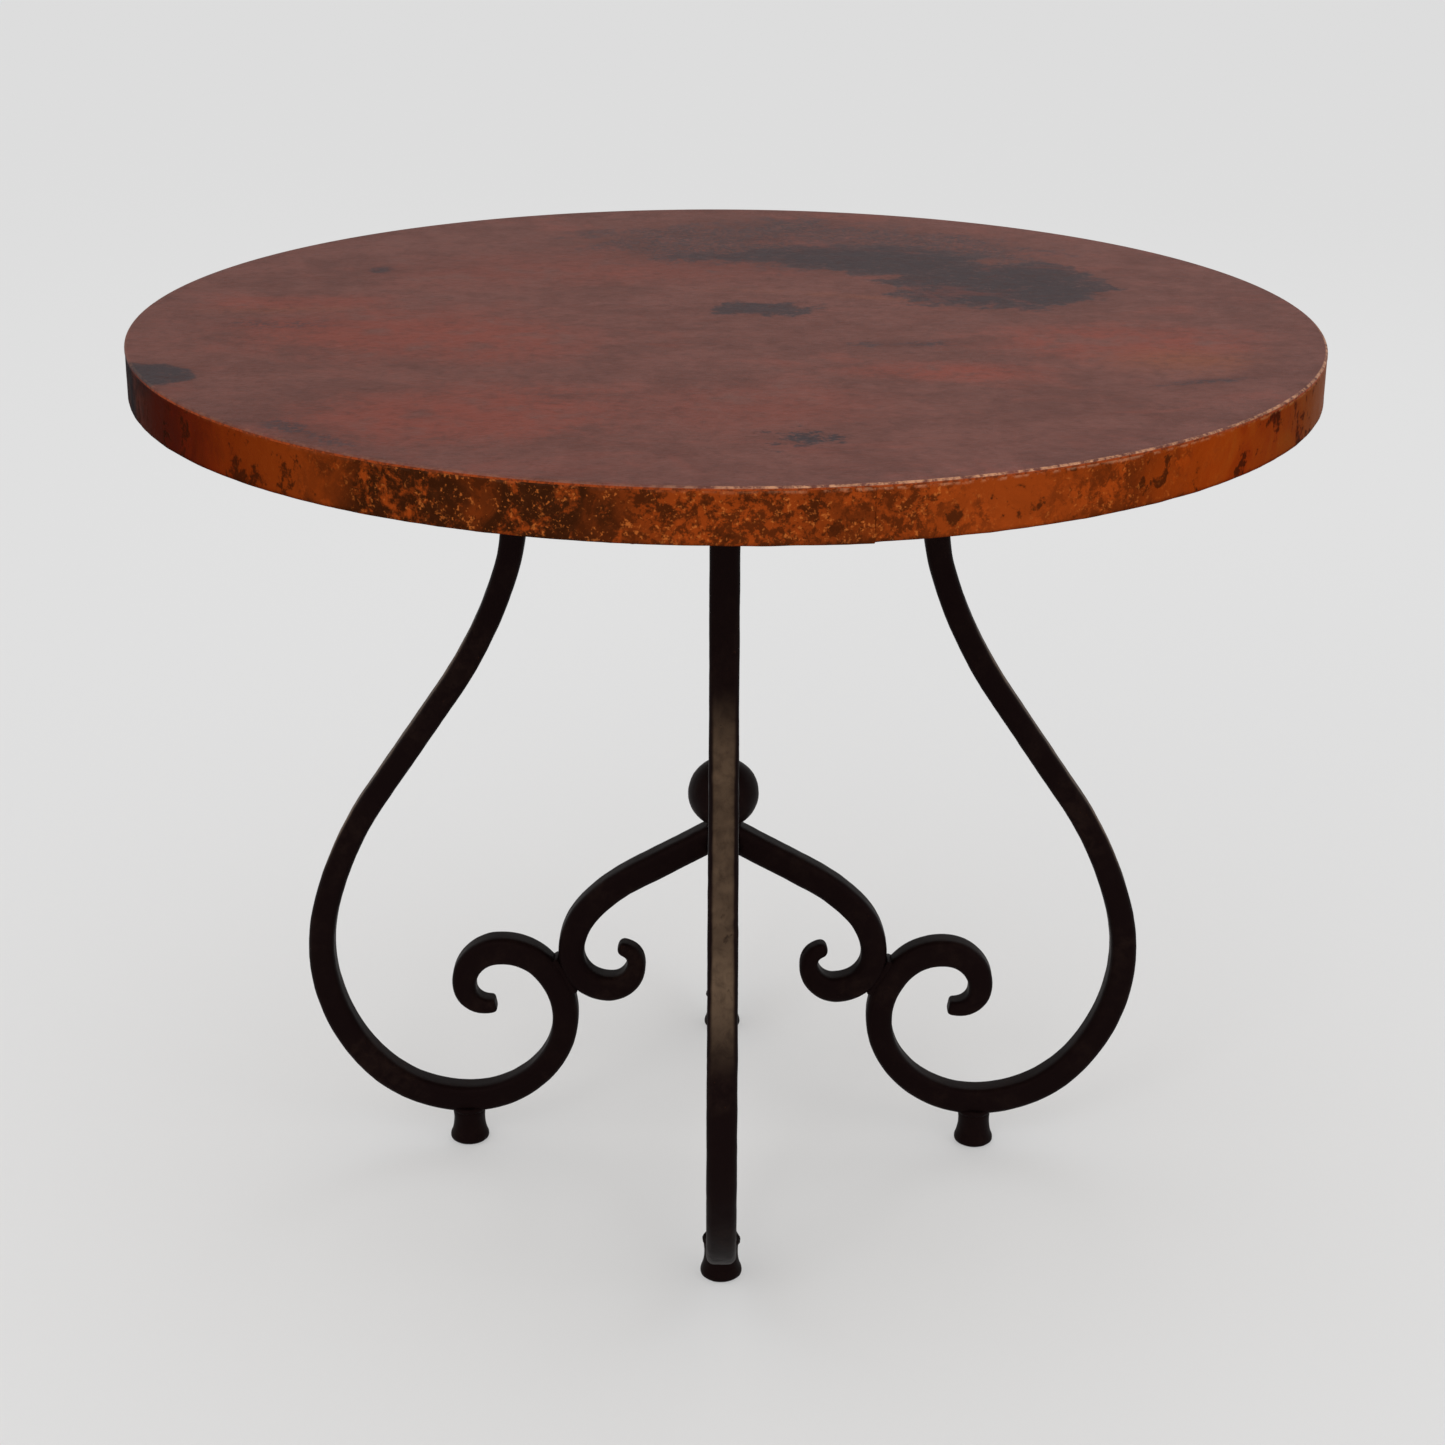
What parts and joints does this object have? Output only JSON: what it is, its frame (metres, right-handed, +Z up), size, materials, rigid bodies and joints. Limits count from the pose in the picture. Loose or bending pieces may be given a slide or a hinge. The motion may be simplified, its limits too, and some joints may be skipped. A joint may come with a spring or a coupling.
{
  "type": "copper top table",
  "caption": "Round table with a flat copper-clad wooden top and deep copper apron, on a forged iron base of scroll legs tied by scroll arms that meet under a ball.",
  "frame": {"origin": "on the floor, below the middle of the round top", "axes": "+Z up; -Y towards the front leg; +X towards the right leg"},
  "size_m": [0.9699, 0.97, 0.76],
  "materials": {
    "top_copper": "copper sheet with a dark red-brown patina, waxed",
    "apron_copper": "copper sheet, orange-brown with dark heat mottling, satin",
    "tack_copper": "copper, dull",
    "forged_iron": "forged and oil-blackened, brown-black, waxed",
    "wood": "plywood and pine, unfinished",
    "screw_steel": "plain steel"
  },
  "bodies": {
    "root": {"copper_top_sheet": "top_copper", "apron_band": "apron_copper", "hem_tacks": "tack_copper", "plywood_core": "wood", "rim_quarter_1": "wood", "rim_quarter_2": "wood", "rim_quarter_3": "wood", "rim_quarter_4": "wood", "top_ring": "forged_iron", "ring_screws": "screw_steel", "leg_right": "forged_iron", "leg_back": "forged_iron", "leg_left": "forged_iron", "leg_front": "forged_iron", "arm_right": "forged_iron", "arm_back": "forged_iron", "arm_left": "forged_iron", "arm_front": "forged_iron", "foot_right": "forged_iron", "foot_back": "forged_iron", "foot_left": "forged_iron", "foot_front": "forged_iron", "hub": "forged_iron", "ball": "forged_iron"}
  },
  "joints": []
}
